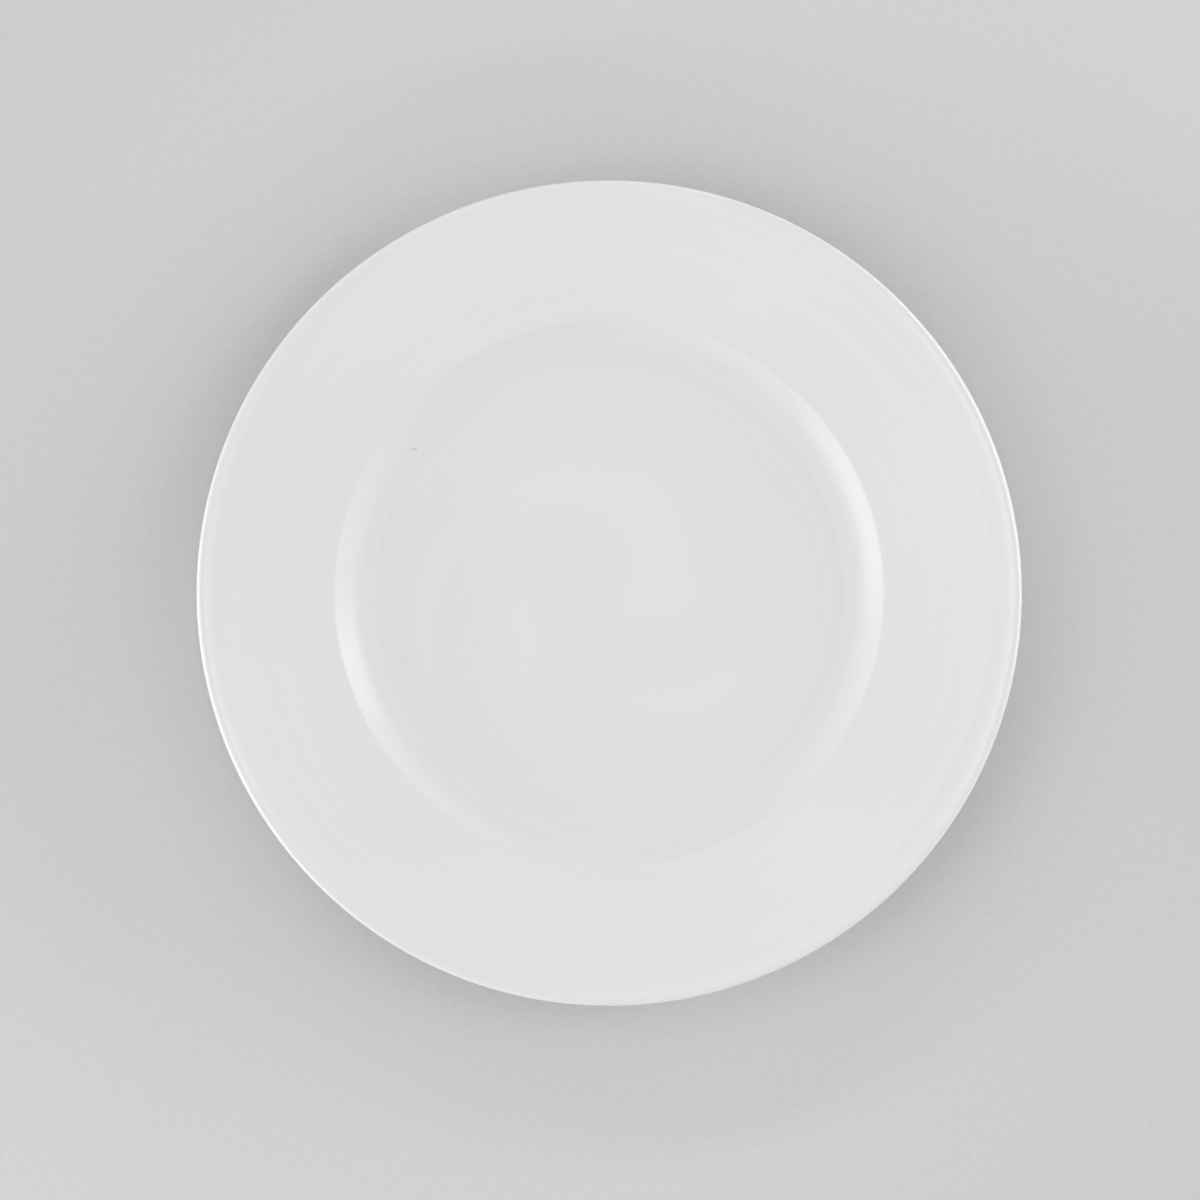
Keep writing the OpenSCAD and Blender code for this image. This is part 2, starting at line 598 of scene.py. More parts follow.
    def recess_glaze(self) -> bpy.types.Object:
        """Makes the glaze inside the foot ring.

        Returns:
            The glaze.
        """
        s = self.sizes
        corners = self.section.recess()
        end = self.section.wiped_end(Side.INNER)
        outline = Outline(Vector((0.0, s.recess_h)))
        outline.path(corners, 0.0, self.SEEN_STEP, backwards=True)
        outline.path(end, 0.0, self.TOE_STEP)
        outline.line(end[-1].place)
        outline.path(corners, s.glaze_t, self.HIDDEN_STEP)
        outline.line(Vector((0.0, s.recess_h + s.glaze_t)), self.HIDDEN_STEP)
        return self.turned("foot_recess_glaze", outline, Side.INNER)


class Wiring:
    """A node tree that is being wired, with a method for each kind of step."""

    def __init__(self, tree: bpy.types.NodeTree) -> None:
        """Keeps the node tree of a material, an effect or the world."""
        self.tree = tree

    def node(self, kind: str, *feeds: Source, **settings: str | bool) -> bpy.types.Node:
        """Adds a node.

        Args:
            kind: the node's type.
            feeds: what its inputs take, from the first one on.
            settings: its other settings.

        Returns:
            The node.
        """
        made = self.tree.nodes.new(kind)
        for name, value in settings.items():
            setattr(made, name, value)
        for socket, source in zip((socket for socket in made.inputs if socket.enabled), feeds):
            self.feed(socket, source)
        return made

    def feed(self, socket: bpy.types.NodeSocket, source: Source) -> None:
        """Links an input to its source, or sets its constant.

        Args:
            socket: the input.
            source: an output to link, or a constant.
        """
        if isinstance(source, bpy.types.NodeSocket):
            self.tree.links.new(source, socket)
        elif socket.type == "RGBA":
            socket.default_value = (*source, 1.0)
        else:
            socket.default_value = source

    def result(self, node: bpy.types.Node) -> bpy.types.NodeSocket:
        """The output that a node's settings leave in use."""
        return next(socket for socket in node.outputs if socket.enabled)

    def math(self, operation: str, *terms: Source) -> bpy.types.NodeSocket:
        """The value that a Math node works out of its terms."""
        return self.result(self.node("ShaderNodeMath", *terms, operation=operation))

    def vector(self, operation: str, *terms: Source) -> bpy.types.NodeSocket:
        """The vector or the value that a Vector Math node works out of its terms."""
        return self.result(self.node("ShaderNodeVectorMath", *terms, operation=operation))

    def join(self, x: Source, y: Source, z: Source) -> bpy.types.NodeSocket:
        """The vector of three values."""
        return self.result(self.node("ShaderNodeCombineXYZ", x, y, z))

    def parts(self, vector: Source) -> list[bpy.types.NodeSocket]:
        """The three values of a vector."""
        return list(self.node("ShaderNodeSeparateXYZ", vector).outputs)

    def turned(self, place: Source, angle: Source) -> bpy.types.NodeSocket:
        """A place turned round the Z axis by an angle in radians."""
        return self.result(self.node("ShaderNodeVectorRotate", place, ORIGIN, angle, rotation_type="Z_AXIS"))

    def ease(
        self, value: Source, start: Source, end: Source, low: Source = 0.0, high: Source = 1.0
    ) -> bpy.types.NodeSocket:
        """A level that eases from low to high while a value goes from start to end."""
        feeds = (value, start, end, low, high)
        return self.result(self.node("ShaderNodeMapRange", *feeds, interpolation_type="SMOOTHSTEP"))

    def tint(self, share: Source, low: Source, high: Source) -> bpy.types.NodeSocket:
        """Colour between two others: the low one at a share of 0 and the high one at 1."""
        return self.result(self.node("ShaderNodeMix", share, low, high, data_type="RGBA"))

    def noise(self, place: Source, size: Source, detail: float = 0.0) -> bpy.types.NodeSocket:
        """Soft noise round 0, mostly between -0.5 and 0.5.

        Args:
            place: where.
            size: width of its features, in the unit of the place.
            detail: how many finer layers it has.

        Returns:
            The noise.
        """
        scaled = self.vector("SCALE", place, self.math("DIVIDE", 1.0, size))
        made = self.node("ShaderNodeTexNoise", scaled, 1.0, detail)
        return self.math("SUBTRACT", made.outputs[0], 0.5)

    def effect(self, group: bpy.types.NodeTree, **feeds: Source) -> bpy.types.NodeSocket:
        """Places an effect.

        Args:
            group: the effect's node group.
            feeds: what its inputs take, by name.

        Returns:
            The effect's output.
        """
        made = self.tree.nodes.new("ShaderNodeGroup")
        made.node_tree = group
        for name, source in feeds.items():
            self.feed(made.inputs[name], source)
        return made.outputs[0]


class Effect(Wiring):
    """A node group with named inputs and one output, built once and placed wherever it is needed."""

    def __init__(self, name: str, output: str, **inputs: Source) -> None:
        """Makes the empty group.

        Args:
            name: name of the group.
            output: name of its output, which is a value.
            inputs: its inputs' names and first values.
        """
        super().__init__(bpy.data.node_groups.new(name, "ShaderNodeTree"))
        for socket, first in inputs.items():
            kind = "NodeSocketVector" if isinstance(first, tuple) else "NodeSocketFloat"
            made = self.tree.interface.new_socket(socket, in_out="INPUT", socket_type=kind)
            made.default_value = first
        self.tree.interface.new_socket(output, in_out="OUTPUT", socket_type="NodeSocketFloat")
        self.given = self.tree.nodes.new("NodeGroupInput").outputs

    def finish(self, value: Source) -> bpy.types.NodeTree:
        """Wires what the group puts out, and hands over its node tree."""
        self.node("NodeGroupOutput", value)
        return self.tree


@cache
def turning_marks() -> bpy.types.NodeTree:
    """Builds the marks of the wheel: broken arcs round the axis, which blur inside its core.

    Returns:
        The node group.
    """
    group = Effect("turning_marks", "Level", Place=ORIGIN, Gap=6.0, Arcs=1.5, Core=20.0)
    place, gap, arcs, core = group.given[:4]
    flat = group.vector("MULTIPLY", place, FLAT)
    radius = group.vector("LENGTH", flat)
    outwards = group.vector("SCALE", flat, group.math("DIVIDE", arcs, group.math("MAXIMUM", radius, core)))
    rings = group.join(0.0, 0.0, group.math("DIVIDE", radius, gap))
    return group.finish(group.noise(group.vector("ADD", outwards, rings), 1.0, detail=2.0))


@cache
def painted_reflection_patches() -> bpy.types.NodeTree:
    """Builds the painted reflection patches: lighter patches in a glaze's colour that stand in for its uneven
    reflection, drawn into a swirl, and fewer away from the axis.

    Returns:
        The node group.
    """
    shape = {"Size": 30.0, "Drag": 0.02, "Turn": 0.0, "Edge": 0.06, "Reach": 110.0}
    group = Effect("painted_reflection_patches", "Mask", Place=ORIGIN, **shape)
    place, size, drag, turn, edge, reach = group.given[:6]
    most_patches, fewest_patches = 0.02, -0.36
    radius = group.vector("LENGTH", group.vector("MULTIPLY", place, FLAT))
    dragged = group.turned(place, group.math("MULTIPLY_ADD", drag, radius, turn))
    bias = group.ease(radius, 0.0, reach, most_patches, fewest_patches)
    level = group.math("ADD", group.noise(dragged, size, detail=1.0), bias)
    return group.finish(group.ease(level, group.math("MULTIPLY", edge, -1.0), edge))


@cache
def ring_line() -> bpy.types.NodeTree:
    """Builds a fine line round the axis, which fades in and out.

    Returns:
        The node group.
    """
    group = Effect("ring_line", "Mask", Place=ORIGIN, Radius=70.0, Width=1.0, Arc=60.0)
    place, radius, width, arc = group.given[:4]
    faint, full = -0.15, 0.15
    reach = group.vector("LENGTH", group.vector("MULTIPLY", place, FLAT))
    line = group.ease(group.math("ABSOLUTE", group.math("SUBTRACT", reach, radius)), width, 0.0)
    return group.finish(group.math("MULTIPLY", line, group.ease(group.noise(place, arc), faint, full)))


@cache
def soft_waves() -> bpy.types.NodeTree:
    """Builds the soft waves of a melted glaze or of a fine grain.

    Returns:
        The node group.
    """
    group = Effect("soft_waves", "Level", Place=ORIGIN, Size=5.0)
    place, size = group.given[:2]
    return group.finish(group.noise(place, size, detail=2.0))


@cache
def speck() -> bpy.types.NodeTree:
    """Builds one speck with a ragged edge, which can be long and turned.

    Returns:
        The node group.
    """
    group = Effect("speck", "Mask", Place=ORIGIN, Centre=ORIGIN, Length=1.0, Width=1.0, Turn=0.0)
    place, centre, length, width, turn = group.given[:5]
    depth, grain, raggedness = 3.0, 0.35, 0.4
    clear, full = 0.65, 0.3
    turned = group.turned(group.vector("SUBTRACT", place, centre), turn)
    reach = group.vector("LENGTH", group.vector("DIVIDE", turned, group.join(length, width, depth)))
    reach = group.math("MULTIPLY_ADD", group.noise(place, grain), raggedness, reach)
    return group.finish(group.ease(reach, clear, full))


@cache
def scattered_specks() -> bpy.types.NodeTree:
    """Builds pinprick specks, scattered at random.

    Returns:
        The node group.
    """
    group = Effect("scattered_specks", "Mask", Place=ORIGIN, Gap=20.0, Size=0.4, Share=0.5)
    place, gap, size, share = group.given[:4]
    full = 0.4
    scaled = group.vector("SCALE", place, group.math("DIVIDE", 1.0, gap))
    cells = group.node("ShaderNodeTexVoronoi", scaled, 1.0)
    reach = group.math("MULTIPLY", cells.outputs["Distance"], gap)
    spot = group.ease(reach, size, group.math("MULTIPLY", size, full))
    chosen = group.math("LESS_THAN", group.parts(cells.outputs["Color"])[0], share)
    return group.finish(group.math("MULTIPLY", spot, chosen))


@cache
def smudges() -> bpy.types.NodeTree:
    """Builds the faint smudges that hands and cloths leave on a gloss.

    Returns:
        The node group.
    """
    group = Effect("smudges", "Mask", Place=ORIGIN, Size=30.0)
    place, size = group.given[:2]
    clean, smudged = -0.05, 0.25
    return group.finish(group.ease(group.noise(place, size, detail=4.0), clean, smudged))


@cache
def soft_box_light() -> bpy.types.NodeTree:
    """Builds the light of a distant soft box: a rectangle of sky with soft edges.

    Returns:
        The node group.
    """
    axes = {"Direction": ORIGIN, "Aim": ORIGIN, "Across": ORIGIN, "Rise": ORIGIN}
    group = Effect("soft_box_light", "Mask", **axes, Sides=0.5, Ends=0.5)
    direction, aim, across, rise, sides, ends = group.given[:6]
    least_ahead = 0.05
    ahead = group.vector("DOT_PRODUCT", direction, aim)
    depth = group.math("MAXIMUM", ahead, least_ahead)
    mask = group.math("GREATER_THAN", ahead, least_ahead)
    for axis, edge in ((across, sides), (rise, ends)):
        offset = group.math("DIVIDE", group.vector("DOT_PRODUCT", direction, axis), depth)
        inside = group.ease(group.math("ABSOLUTE", offset), 1.0, group.math("SUBTRACT", 1.0, edge))
        mask = group.math("MULTIPLY", mask, inside)
    return group.finish(mask)


class Dressing(Wiring):
    """A material that is being made, with its shader and its place in millimetres."""

    def __init__(self, name: str) -> None:
        """Starts the material.

        Args:
            name: its name.
        """
        self.material = bpy.data.materials.new(name)
        self.material.use_nodes = True
        super().__init__(self.material.node_tree)
        self.shader = self.tree.nodes["Principled BSDF"]
        coordinates = self.tree.nodes.new("ShaderNodeTexCoord")
        self.place = self.vector("SCALE", coordinates.outputs["Object"], 1.0 / MM)

    def layer(self, group: bpy.types.NodeTree, **feeds: Source) -> bpy.types.NodeSocket:
        """Places an effect at the material's own place."""
        return self.effect(group, Place=self.place, **feeds)

    def constants(self, **values: float) -> None:
        """Sets inputs of the shader, named with _ for a space, to the same value all over the surface."""
        for name, value in values.items():
            self.shader.inputs[name.replace("_", " ")].default_value = value

    def relief(self, *layers: tuple[bpy.types.NodeSocket, float]) -> None:
        """Roughens the surface.

        Args:
            layers: levels and their depths, in millimetres.
        """
        height = 0.0
        for level, depth in layers:
            height = self.math("MULTIPLY_ADD", level, depth, height)
        bump = self.tree.nodes.new("ShaderNodeBump")
        bump.inputs["Distance"].default_value = MM
        self.feed(bump.inputs["Height"], height)
        self.feed(self.shader.inputs["Normal"], bump.outputs["Normal"])


@dataclass(frozen=True)
class Speck:
    """An iron speck that shows through the glaze of the face.

    Attributes:
        x: its place across, in millimetres.
        y: its place along, in millimetres.
        strength: how much of its colour shows.
        length: its length.
        width: its width.
        turn: direction of its length, in degrees.
    """

    x: float
    y: float
    strength: float
    length: float = 0.6
    width: float = 0.6
    turn: float = 0.0


@dataclass(frozen=True)
class ToolLine:
    """A fine line that the turning tool left round the plate, in stretches.

    Attributes:
        radius: its distance from the axis, in millimetres.
        half_width: half of its width.
        share: how much thicker the glaze lies in it, or thinner where this is negative.
        stretch: usual length of its stretches.
    """

    radius: float
    half_width: float
    share: float
    stretch: float = 60.0


@dataclass(frozen=True)
class Glaze:
    """Clear, even gloss glaze over white porcelain.

    Attributes:
        name: name of the material.
        thin_colour: colour where the glaze lies thin, and towards which the painted reflection patches
            lighten it.
        thick_colour: colour where it lies thick.
        usual_thickness: share of the thick colour in most places.
        middle_share: how much thicker it lies in the middle of the plate.
        middle_r: distance from the axis at which that ends, in millimetres.
        pooled_colour: colour where it has gathered above its wiped edge.
        pooled_share: share of this colour at the wiped edge.
        speck_colour: colour of the specks.
        roughness: roughness of the clean gloss.
        smudged_roughness: roughness where it is smudged.
        smudge_size: size of the smudges, in millimetres.
        patch_size: size of the painted reflection patches, lighter patches in the colour that stand in for
            the glaze's uneven reflection, in millimetres.
        patch_drag: how far they are drawn round, in radians for each millimetre from the axis.
        patch_turn: how far they are all turned round the axis, in degrees.
        painted_reflection_share: how far the painted reflection patches lighten the colour towards the thin
            colour.
        mark_gap: distance between the marks of the wheel, in millimetres.
        mark_arcs: how often they break on the way round.
        mark_core: distance from the axis inside which they blur.
        mark_share: how much the thickness follows them.
        mark_depth: depth of these marks.
        line_depth: depth of the tool's lines, for glaze that lies thicker there by 1.
        wave_size: width of the waves in the melted surface.
        wave_depth: depth of these waves.
        pinprick_gap: usual distance between the finest specks.
        pinprick_size: radius of these specks.
        pinprick_share: share of the gaps that have one.
        pinprick_strength: how much of their colour shows.
        lines: the fine lines of the turning tool.
        specks: the specks that can be told apart.
    """

    name: str
    thin_colour: Colour = (0.843, 0.843, 0.846)
    thick_colour: Colour = (0.806, 0.806, 0.809)
    usual_thickness: float = 0.66
    middle_share: float = 0.3
    middle_r: float = 60.0
    pooled_colour: Colour = (0.70, 0.725, 0.735)
    pooled_share: float = 0.6
    speck_colour: Colour = (0.17, 0.16, 0.10)
    roughness: float = 0.07
    smudged_roughness: float = 0.12
    smudge_size: float = 26.0
    patch_size: float = 46.0
    patch_drag: float = -0.04
    patch_turn: float = -57.5
    painted_reflection_share: float = 0.46
    mark_gap: float = 4.5
    mark_arcs: float = 0.9
    mark_core: float = 60.0
    mark_share: float = 0.55
    mark_depth: float = 0.004
    line_depth: float = 0.008
    wave_size: float = 7.0
    wave_depth: float = 0.004
    pinprick_gap: float = 38.0
    pinprick_size: float = 0.3
    pinprick_share: float = 0.35
    pinprick_strength: float = 0.3
    lines: tuple[ToolLine, ...] = ()
    specks: tuple[Speck, ...] = ()

    def material(self, section: Section) -> bpy.types.Material:
        """Makes the material.

        Args:
            section: the plate's section.

        Returns:
            The material.
        """
        sizes = section.sizes
        dressing = Dressing(self.name)
        marks = dressing.layer(turning_marks(), Gap=self.mark_gap, Arcs=self.mark_arcs, Core=self.mark_core)
        turn = math.radians(self.patch_turn)
        patches = dressing.layer(painted_reflection_patches(), Size=self.patch_size, Drag=self.patch_drag, Turn=turn)
        waves = dressing.layer(soft_waves(), Size=self.wave_size)
        lines: Source = 0.0
        for line in self.lines:
            mask = dressing.layer(ring_line(), Radius=line.radius, Width=line.half_width, Arc=line.stretch)
            lines = dressing.math("MULTIPLY_ADD", mask, line.share, lines)

        reach = dressing.vector("LENGTH", dressing.vector("MULTIPLY", dressing.place, FLAT))
        middle = dressing.ease(reach, self.middle_r, 0.0, 0.0, self.middle_share)
        thickness = dressing.math("ADD", middle, self.usual_thickness)
        # painted reflection: the swirled patches lighten the colour to stand in for the glaze's uneven
        # reflection
        thickness = dressing.math("MULTIPLY_ADD", patches, -self.painted_reflection_share, thickness)
        thickness = dressing.math("MULTIPLY_ADD", marks, self.mark_share, thickness)
        thickness = dressing.math("ADD", thickness, lines)
        colour = dressing.tint(thickness, self.thin_colour, self.thick_colour)
        height = dressing.parts(dressing.place)[2]
        pooled = dressing.ease(height, sizes.heel_h, sizes.bare_h, 0.0, self.pooled_share)
        colour = dressing.tint(pooled, colour, self.pooled_colour)
        colour = dressing.tint(self.dirt(dressing, section), colour, self.speck_colour)
        dressing.feed(dressing.shader.inputs["Base Color"], colour)

        smudged = dressing.layer(smudges(), Size=self.smudge_size)
        gloss = dressing.ease(smudged, 0.0, 1.0, self.roughness, self.smudged_roughness)
        dressing.feed(dressing.shader.inputs["Roughness"], gloss)
        dressing.constants(IOR=CERAMIC_IOR)
        dressing.relief((marks, self.mark_depth), (waves, self.wave_depth), (lines, -self.line_depth))
        return dressing.material

    def dirt(self, dressing: Dressing, section: Section) -> bpy.types.NodeSocket:
        """Wires the specks.

        Args:
            dressing: the material.
            section: the plate's section.

        Returns:
            How much of the specks' colour shows.
        """
        spread = {"Gap": self.pinprick_gap, "Size": self.pinprick_size, "Share": self.pinprick_share}
        dirt = dressing.math("MULTIPLY", dressing.layer(scattered_specks(), **spread), self.pinprick_strength)
        for spot in self.specks:
            centre = (spot.x, spot.y, section.face_height(math.hypot(spot.x, spot.y)))
            shape = {"Length": spot.length, "Width": spot.width, "Turn": math.radians(-spot.turn)}
            mask = dressing.layer(speck(), Centre=centre, **shape)
            dirt = dressing.math("MULTIPLY_ADD", mask, spot.strength, dirt)
        return dirt


@dataclass(frozen=True)
class BareClay:
    """Fired clay without glaze, as it shows on the foot ring.

    Attributes:
        clean_colour: colour of the clay.
        worn_colour: colour where it has been stood on.
        worn_share: share of the worn colour all over the standing face.
        dirt_share: share of it that dirt adds.
        dirt_size: size of the dirty patches, in millimetres.
        roughness: roughness of the clean clay.
        worn_roughness: roughness where it is worn.
        grain: size of its grain, in millimetres.
        grain_share: how much the colour follows the grain.
        grain_depth: depth of its grain.
        score_gap: distance between the marks of the grinding stone.
        score_arcs: how often these marks break on the way round.
        score_core: distance from the axis inside which they would blur.
        score_depth: depth of these marks.
    """

    clean_colour: Colour = (0.74, 0.71, 0.66)
    worn_colour: Colour = (0.47, 0.44, 0.40)
    worn_share: float = 0.2
    dirt_share: float = 0.45
    dirt_size: float = 9.0
    roughness: float = 0.85
    worn_roughness: float = 0.6
    grain: float = 0.25
    grain_share: float = 0.25
    grain_depth: float = 0.02
    score_gap: float = 0.35
    score_arcs: float = 9.0
    score_core: float = 25.0
    score_depth: float = 0.012

    def material(self, sizes: PlateSizes) -> bpy.types.Material:
        """Makes the material.

        Args:
            sizes: the plate's sizes.

        Returns:
            The material.
        """
        dressing = Dressing("bare_fired_clay")
        grain = dressing.layer(soft_waves(), Size=self.grain)
        marks = {"Gap": self.score_gap, "Arcs": self.score_arcs, "Core": self.score_core}
        scores = dressing.layer(turning_marks(), **marks)
        dirt = dressing.layer(smudges(), Size=self.dirt_size)
        stood_on = dressing.ease(dressing.parts(dressing.place)[2], sizes.toe_r, 0.0)
        worn = dressing.math("MULTIPLY_ADD", dirt, self.dirt_share, self.worn_share)
        worn = dressing.math("MULTIPLY", worn, stood_on)
        worn = dressing.math("MULTIPLY_ADD", grain, self.grain_share, worn)
        colour = dressing.tint(worn, self.clean_colour, self.worn_colour)
        dressing.feed(dressing.shader.inputs["Base Color"], colour)
        gloss = dressing.ease(worn, 0.0, 1.0, self.roughness, self.worn_roughness)
        dressing.feed(dressing.shader.inputs["Roughness"], gloss)
        dressing.constants(IOR=CERAMIC_IOR)
        dressing.relief((grain, self.grain_depth), (scores, self.score_depth))
        return dressing.material


@dataclass(frozen=True)
class GreyPaper:
    """Pale grey studio paper with a fine tooth, and painted light falloff that makes it lighter towards two
    opposite corners and darker towards the other two.

    Attributes:
        dark_colour: its darkest colour.
        light_colour: its lightest colour.
        tooth: size of its tooth, in millimetres.
        fibre: size of its finest fibres, in millimetres.
        tooth_share: how much the tone follows the tooth.
        tooth_depth: depth of its tooth.
        usual_share: share of the light colour in the middle of the sheet.
        painted_light_drift: painted light falloff: how fast this share drifts, for each square millimetre, so
            that the paper is painted lighter towards two opposite corners and darker towards the other two.
        roughness: roughness of its surface.
        shine: strength of its faint shine.
    """

    dark_colour: Colour = (0.652, 0.639, 0.6475)
    light_colour: Colour = (0.764, 0.749, 0.7586)
    tooth: float = 2.2
    fibre: float = 1.1
    tooth_share: float = 0.5
    tooth_depth: float = 0.02
    usual_share: float = 0.5
    painted_light_drift: float = 7.5e-6
    roughness: float = 0.9
    shine: float = 0.2

    def material(self) -> bpy.types.Material:
        """Makes the material.

        Returns:
            The material.
        """
        dressing = Dressing("grey_paper")
        tooth = dressing.layer(soft_waves(), Size=self.tooth)
        fibres = dressing.layer(soft_waves(), Size=self.fibre)
        x, y, _ = dressing.parts(dressing.place)
        # painted light falloff: the tone drifts lighter towards two opposite corners and darker towards the
        # other two
        share = dressing.math("MULTIPLY_ADD", dressing.math("MULTIPLY", x, y), self.painted_light_drift, self.usual_share)
        share = dressing.math("MULTIPLY_ADD", tooth, self.tooth_share, share)
        colour = dressing.tint(share, self.dark_colour, self.light_colour)
        dressing.feed(dressing.shader.inputs["Base Color"], colour)
        dressing.constants(Roughness=self.roughness, Specular_IOR_Level=self.shine)
        dressing.relief((fibres, self.tooth_depth))
        return dressing.material


@dataclass(frozen=True)
class SoftBox:
    """A soft box, or the pale panel that stands in for one, far enough off to light the table evenly.

    Attributes:
        azimuth: direction from the plate, anticlockwise from +X, in degrees.
        elevation: height of its middle above the horizon, in degrees.
        half_width: half of its width as seen from the plate, in degrees.
        half_height: half of its height as seen from the plate, in degrees.
        soft_sides: share of its half width over which its light fades out.
        soft_ends: share of its half height over which its light fades out.
        radiance: brightness of its middle, where 1 is white.
        colour: its colour.
    """

    azimuth: float
    elevation: float
    half_width: float
    half_height: float
    soft_sides: float
    soft_ends: float
    radiance: float
    colour: Colour = (1.0, 1.0, 1.0)

    def add_to(self, sky: Wiring, direction: Source, light: Source) -> Source:
        """Adds the light of the box to the room's.

        Args:
            sky: the world's wiring.
            direction: the direction looked in.
            light: colour of the light so far.

        Returns:
            Colour of the light with the box's.
        """
        a, e = math.radians(self.azimuth), math.radians(self.elevation)
        aim = Vector((math.cos(a) * math.cos(e), math.sin(a) * math.cos(e), math.sin(e)))
        across = Vector((-math.sin(a), math.cos(a), 0.0))
        mask = sky.effect(
            soft_box_light(),
            Direction=direction,
            Aim=aim,
            Across=across / math.tan(math.radians(self.half_width)),
            Rise=aim.cross(across) / math.tan(math.radians(self.half_height)),
            Sides=self.soft_sides,
            Ends=self.soft_ends,
        )
        bright = Vector(self.colour) * self.radiance
        return sky.vector("ADD", light, sky.vector("SCALE", tuple(bright), mask))


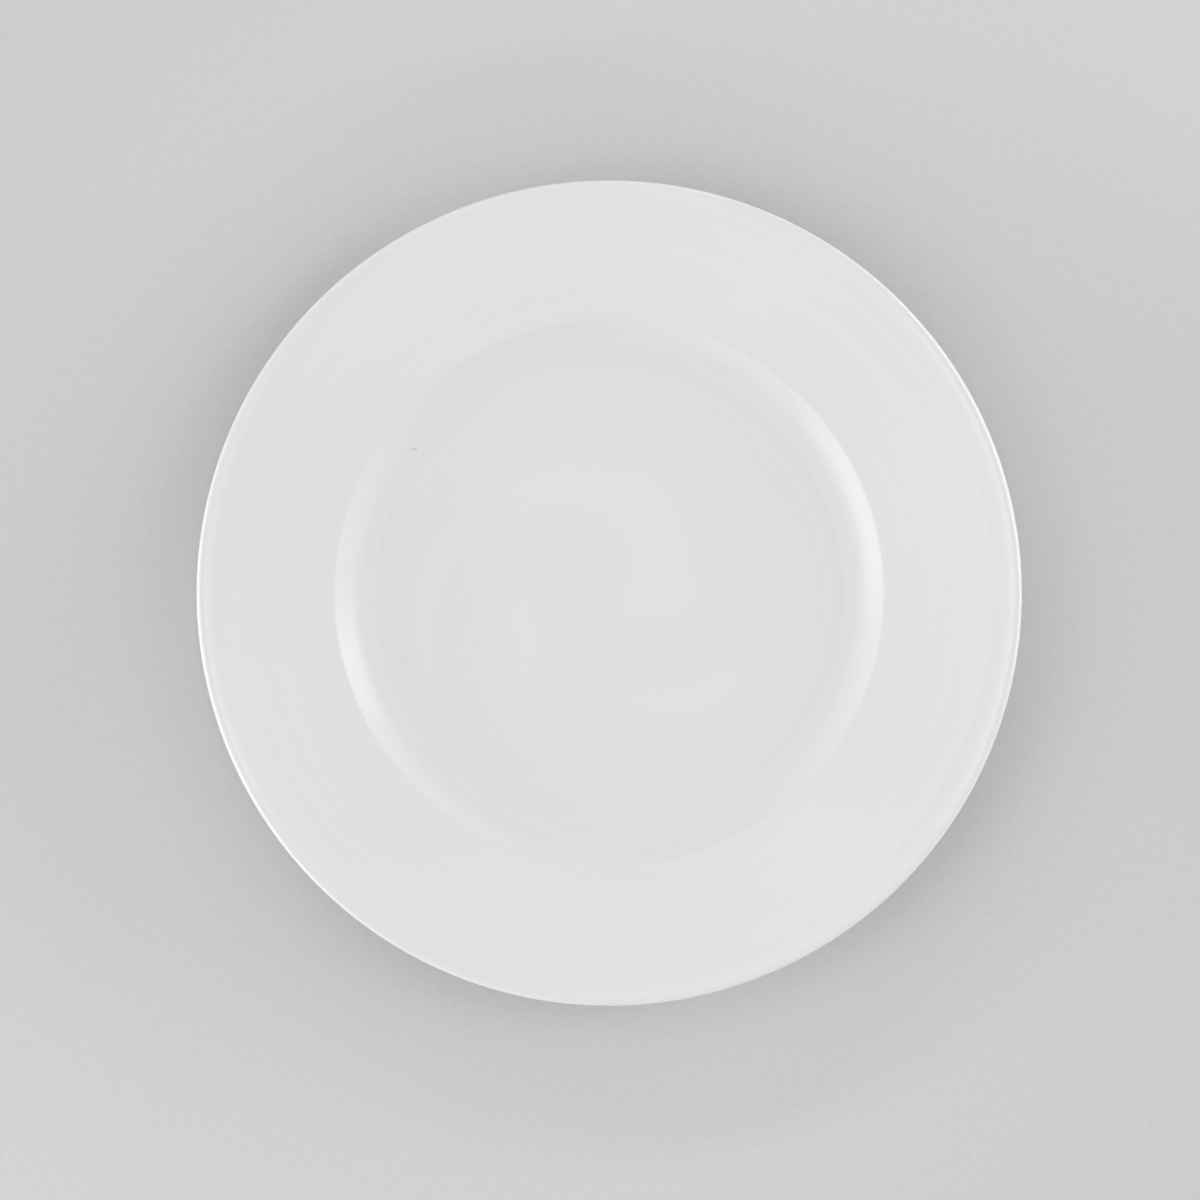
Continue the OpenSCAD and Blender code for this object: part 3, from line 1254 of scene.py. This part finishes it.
@dataclass(frozen=True)
class Studio:
    """The paper, the room, its lights and the camera.

    Attributes:
        view_w: width of the photograph at the height of the plate's edge, in millimetres.
        plate_offset: how far the plate's axis stands from the middle of the view, in millimetres.
        lens: focal length of the camera, in millimetres.
        sensor: width of the camera's sensor, in millimetres.
        sheet_r: half of the width of the paper, in metres.
        sight: how far the camera sees, in metres.
        room_light: colour of the light from the room between the soft boxes.
        backdrop: colour of the room as the camera and a gloss see it.
        boxes: the soft boxes.
    """

    view_w: float = 392.5
    plate_offset: tuple[float, float] = (3.005, 2.266)
    lens: float = 100.0
    sensor: float = 36.0
    sheet_r: float = 12.0
    sight: float = 20.0
    room_light: Colour = (0.142, 0.128, 0.127)
    backdrop: Colour = (0.6, 0.6, 0.6)
    boxes: tuple[SoftBox, ...] = (
        SoftBox(8.6, 90.0, 45.1, 17.5, 0.44, 0.44, 0.70, (1.0, 1.0, 0.94)),
        SoftBox(16.9, 37.1, 14.2, 25.0, 0.85, 0.62, 1.85, (0.94, 0.95, 1.0)),
        SoftBox(197.9, 37.2, 22.9, 25.0, 0.72, 0.82, 1.59, (0.84, 0.91, 1.0)),
        SoftBox(19.8, 7.9, 38.1, 15.1, 0.54, 0.89, 6.32, (1.0, 0.985, 0.94)),
        SoftBox(195.7, 7.5, 41.6, 7.8, 0.47, 0.41, 7.93, (1.0, 0.985, 0.94)),
        SoftBox(104.2, 22.4, 34.1, 4.0, 0.28, 0.73, 6.58, (0.99, 1.0, 0.94)),
        SoftBox(281.2, 23.6, 50.0, 4.0, 0.35, 0.79, 4.38, (1.0, 0.98, 0.94)),
        SoftBox(306.9, 47.9, 53.6, 30.0, 0.34, 0.70, 0.63, (0.91, 0.96, 1.0)),
        SoftBox(129.5, 49.8, 56.0, 23.6, 0.93, 0.46, 0.70, (0.95, 0.96, 1.0)),
    )

    def build(self, sizes: PlateSizes) -> None:
        """Builds the studio.

        Args:
            sizes: the plate's sizes.
        """
        self.floor()
        self.room()
        self.camera(sizes)

    def floor(self) -> None:
        """Lays a sheet of pale grey paper under the plate."""
        mesh = bmesh.new()
        bmesh.ops.create_grid(mesh, x_segments=1, y_segments=1, size=self.sheet_r)
        data = bpy.data.meshes.new("paper_floor")
        mesh.to_mesh(data)
        mesh.free()
        sheet = bpy.data.objects.new("paper_floor", data)
        bpy.context.scene.collection.objects.link(sheet)
        data.materials.append(GreyPaper().material())

    def room(self) -> None:
        """Fills the room with pale light, and hangs the soft boxes in it.

        The camera sees a plain pale room. The boxes and the room's own light fall on the plate and the table.
        """
        world = bpy.data.worlds.new("pale_room")
        world.use_nodes = True
        sky = Wiring(world.node_tree)
        direction = sky.tree.nodes.new("ShaderNodeTexCoord").outputs["Generated"]
        seen = sky.tree.nodes.new("ShaderNodeLightPath").outputs
        shown = sky.math("MAXIMUM", seen["Is Glossy Ray"], seen["Is Transmission Ray"])
        shown = sky.math("MAXIMUM", shown, seen["Is Camera Ray"])
        light = sky.tint(shown, self.room_light, self.backdrop)
        boxes: Source = ORIGIN
        for box in self.boxes:
            boxes = box.add_to(sky, direction, boxes)
        unseen = sky.math("SUBTRACT", 1.0, seen["Is Camera Ray"])
        total = sky.vector("ADD", light, sky.vector("SCALE", boxes, unseen))
        sky.feed(sky.tree.nodes["Background"].inputs["Color"], total)
        bpy.context.scene.world = world

    def camera(self, sizes: PlateSizes) -> None:
        """Hangs the camera straight above the plate.

        Args:
            sizes: the plate's sizes.
        """
        data = bpy.data.cameras.new("overhead_camera")
        data.lens = self.lens
        data.sensor_width = self.sensor
        data.clip_end = self.sight
        camera = bpy.data.objects.new("overhead_camera", data)
        bpy.context.scene.collection.objects.link(camera)
        rise = self.view_w * self.lens / self.sensor
        widest = sizes.plate_h - sizes.lip_r
        camera.location = Vector((-self.plate_offset[0], -self.plate_offset[1], widest + rise)) * MM
        bpy.context.scene.camera = camera


def main() -> None:
    """Builds the plate and its studio."""
    logging.basicConfig(level=logging.INFO, format="%(name)s: %(message)s")
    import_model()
    bpy.context.scene.view_settings.view_transform = "Standard"

    sizes = PlateSizes.from_frame()
    plate = Plate(sizes, Unevenness())
    specks = (
        Speck(-64.4, 47.6, 0.26, 2.1, 0.7, 4.0),
        Speck(-18.6, 56.2, 0.22),
        Speck(35.3, 11.3, 0.14),
        Speck(-91.5, 43.6, 0.08),
        Speck(-84.6, 16.8, 0.09),
        Speck(95.4, -81.0, 0.2),
        Speck(72.9, -82.6, 0.12),
        Speck(11.4, -125.5, 0.12),
        Speck(4.0, -126.0, 0.12, 0.4, 0.4),
        Speck(-12.3, -117.0, 0.07),
    )
    floor_end, lip = plate.section.flat_floor_r, plate.section.lip_root.x
    lines = (
        ToolLine(floor_end + 0.75, 1.1, 0.36),
        ToolLine(floor_end - 1.2, 0.8, 0.2, 70.0),
        ToolLine(floor_end - 3.9, 1.9, -0.25, 50.0),
        ToolLine(floor_end - 7.8, 1.4, -0.18, 45.0),
        ToolLine(lip - 16.4, 2.0, -0.24, 90.0),
        ToolLine(lip - 8.6, 1.3, -0.2, 65.0),
        ToolLine(lip - 5.8, 1.1, -0.28, 80.0),
        ToolLine(lip - 3.8, 1.1, 0.36, 80.0),
    )
    face = Glaze("clear_glaze_on_white", lines=lines, specks=specks)
    recess = Glaze("clear_glaze_in_recess", patch_drag=0.0, mark_depth=0.012)
    for build, node, slot, finish in (
        (plate.porcelain_body, "porcelain_body", "fired_clay", BareClay().material(sizes)),
        (plate.glaze_coat, "glaze_coat", "glaze", face.material(plate.section)),
        (plate.recess_glaze, "recess_glaze", "glaze", recess.material(plate.section)),
    ):
        piece = build()
        piece.data.materials.append(finish)
        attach(piece, "root")
        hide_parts(node)
        LOG.info("%s: %d faces", piece.name, len(piece.data.polygons))

    Studio().build(sizes)


if __name__ == "__main__":
    main()
